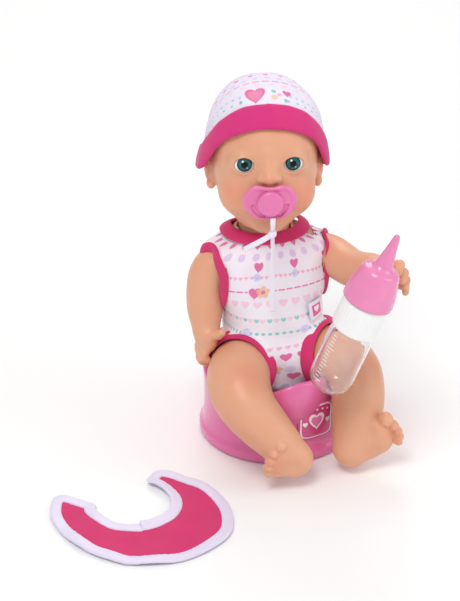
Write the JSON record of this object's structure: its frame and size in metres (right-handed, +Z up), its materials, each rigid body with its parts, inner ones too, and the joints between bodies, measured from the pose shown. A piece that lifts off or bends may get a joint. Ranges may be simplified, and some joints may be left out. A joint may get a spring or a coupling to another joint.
{
  "type": "interactive baby doll",
  "caption": "Drink-and-wet baby doll in a cap and romper, seated on a potty, with pacifier on a ribbon, feeding bottle and bib.",
  "frame": {"origin": "centre of the potty's flat underside", "axes": "+Z up, the doll faces -Y, +X is the doll's left"},
  "size_m": [0.2027, 0.1638, 0.2159],
  "materials": {
    "pink_gloss": "glossy moulded pink",
    "badge": "glossy raised badge",
    "skin": "soft satin vinyl, peach",
    "print_jersey": null,
    "magenta_jersey": "magenta rib jersey",
    "satin": "white satin",
    "white_plastic": "white moulded plastic",
    "clear_plastic": "clear moulded plastic",
    "soft_plastic": "soft translucent plastic",
    "eye": "glossy eye with a dark teal iris",
    "board": "green board",
    "steel": "bare steel",
    "label": "woven white label with a plain magenta square"
  },
  "bodies": {
    "potty": {"potty_shell": "pink_gloss", "potty_badge": "badge"},
    "torso": {"torso_front": "skin", "torso_back": "skin", "neck_ring": "white_plastic", "drinking_tube": "soft_plastic", "drain_spout": "white_plastic", "module_case": "white_plastic", "circuit_board": "board", "speaker": "steel", "button_cell_1": "steel", "button_cell_2": "steel", "button_cell_3": "steel", "battery_door": "white_plastic", "battery_door_screw": "steel", "romper_body": "print_jersey", "romper_collar": "magenta_jersey", "armhole_binding_right": "magenta_jersey", "armhole_binding_left": "magenta_jersey", "leg_binding_right": "magenta_jersey", "leg_binding_left": "magenta_jersey", "romper_label": "label"},
    "chest_button": {"chest_button": "pink_gloss"},
    "power_switch": {"power_switch": "pink_gloss"},
    "head": {"head_shell": "skin", "eye_right": "eye", "eye_left": "eye", "mouth_funnel": "soft_plastic"},
    "cap": {"cap_crown": "print_jersey", "cap_band": "magenta_jersey"},
    "pacifier": {"pacifier_shield": "pink_gloss", "pacifier_button": "pink_gloss", "pacifier_teat": "soft_plastic", "pacifier_ribbon": "satin", "ribbon_knot": "satin", "ribbon_long_tail": "satin", "ribbon_short_tail": "satin"},
    "arm_right": {"arm_right": "skin"},
    "arm_left": {"arm_left": "skin"},
    "leg_right": {"leg_right": "skin"},
    "leg_left": {"leg_left": "skin"},
    "bottle": {"bottle_body": "clear_plastic", "bottle_collar": "white_plastic", "bottle_seal": "soft_plastic"},
    "bottle_cap": {"bottle_cap": "pink_gloss"},
    "bib": {"bib_panel": "magenta_jersey", "bib_border": "satin"}
  },
  "joints": [
    {"name": "doll_lift", "type": "slide", "parent": "potty", "child": "torso", "axis": [0, 0, 1], "range_m": [0, 0.08]},
    {"name": "head_turn", "type": "hinge", "parent": "torso", "child": "head", "pos_m": [-0.007, 0.005, 0.131], "axis": [0, 0, 1], "range_deg": [-40, 41]},
    {"name": "cap_lift", "type": "slide", "parent": "head", "child": "cap", "axis": [0.0999, 0.3296, 0.9388], "range_m": [0, 0.075]},
    {"name": "pacifier_pull", "type": "slide", "parent": "head", "child": "pacifier", "axis": [-0.2924, -0.9563, 0], "range_m": [0, 0.03]},
    {"name": "shoulder_right", "type": "hinge", "parent": "torso", "child": "arm_right", "pos_m": [-0.0254, 0.004, 0.109], "axis": [-0.925, 0.38, 0], "range_deg": [-8, 110]},
    {"name": "shoulder_left", "type": "hinge", "parent": "torso", "child": "arm_left", "pos_m": [0.0136, 0.003, 0.109], "axis": [-0.9949, -0.101, 0], "range_deg": [0, 40]},
    {"name": "hip_right", "type": "hinge", "parent": "torso", "child": "leg_right", "pos_m": [-0.02, -0.011, 0.053], "axis": [-0.7992, -0.5794, 0.1598], "range_deg": [0, 30]},
    {"name": "hip_left", "type": "hinge", "parent": "torso", "child": "leg_left", "pos_m": [0.015, -0.011, 0.054], "axis": [-0.7992, 0.5794, -0.1598], "range_deg": [0, 20]},
    {"name": "chest_press", "type": "slide", "parent": "torso", "child": "chest_button", "axis": [0, 1, 0], "range_m": [0, 0.0015], "stiffness_N_per_m": 400},
    {"name": "switch_slide", "type": "slide", "parent": "torso", "child": "power_switch", "axis": [1, 0, 0], "range_m": [0, 0.004]},
    {"name": "bottle_pull", "type": "slide", "parent": "arm_left", "child": "bottle", "axis": [0.2796, -0.9185, 0.2796], "range_m": [0, 0.06]},
    {"name": "cap_unscrew", "type": "hinge", "parent": "bottle", "child": "bottle_cap", "pos_m": [0.0256, -0.0778, 0.1204], "axis": [0.3242, -0.1385, 0.9358], "continuous": true},
    {"name": "bib_lift", "type": "slide", "parent": "potty", "child": "bib", "axis": [0, 0, 1], "range_m": [0, 0.1]}
  ]
}
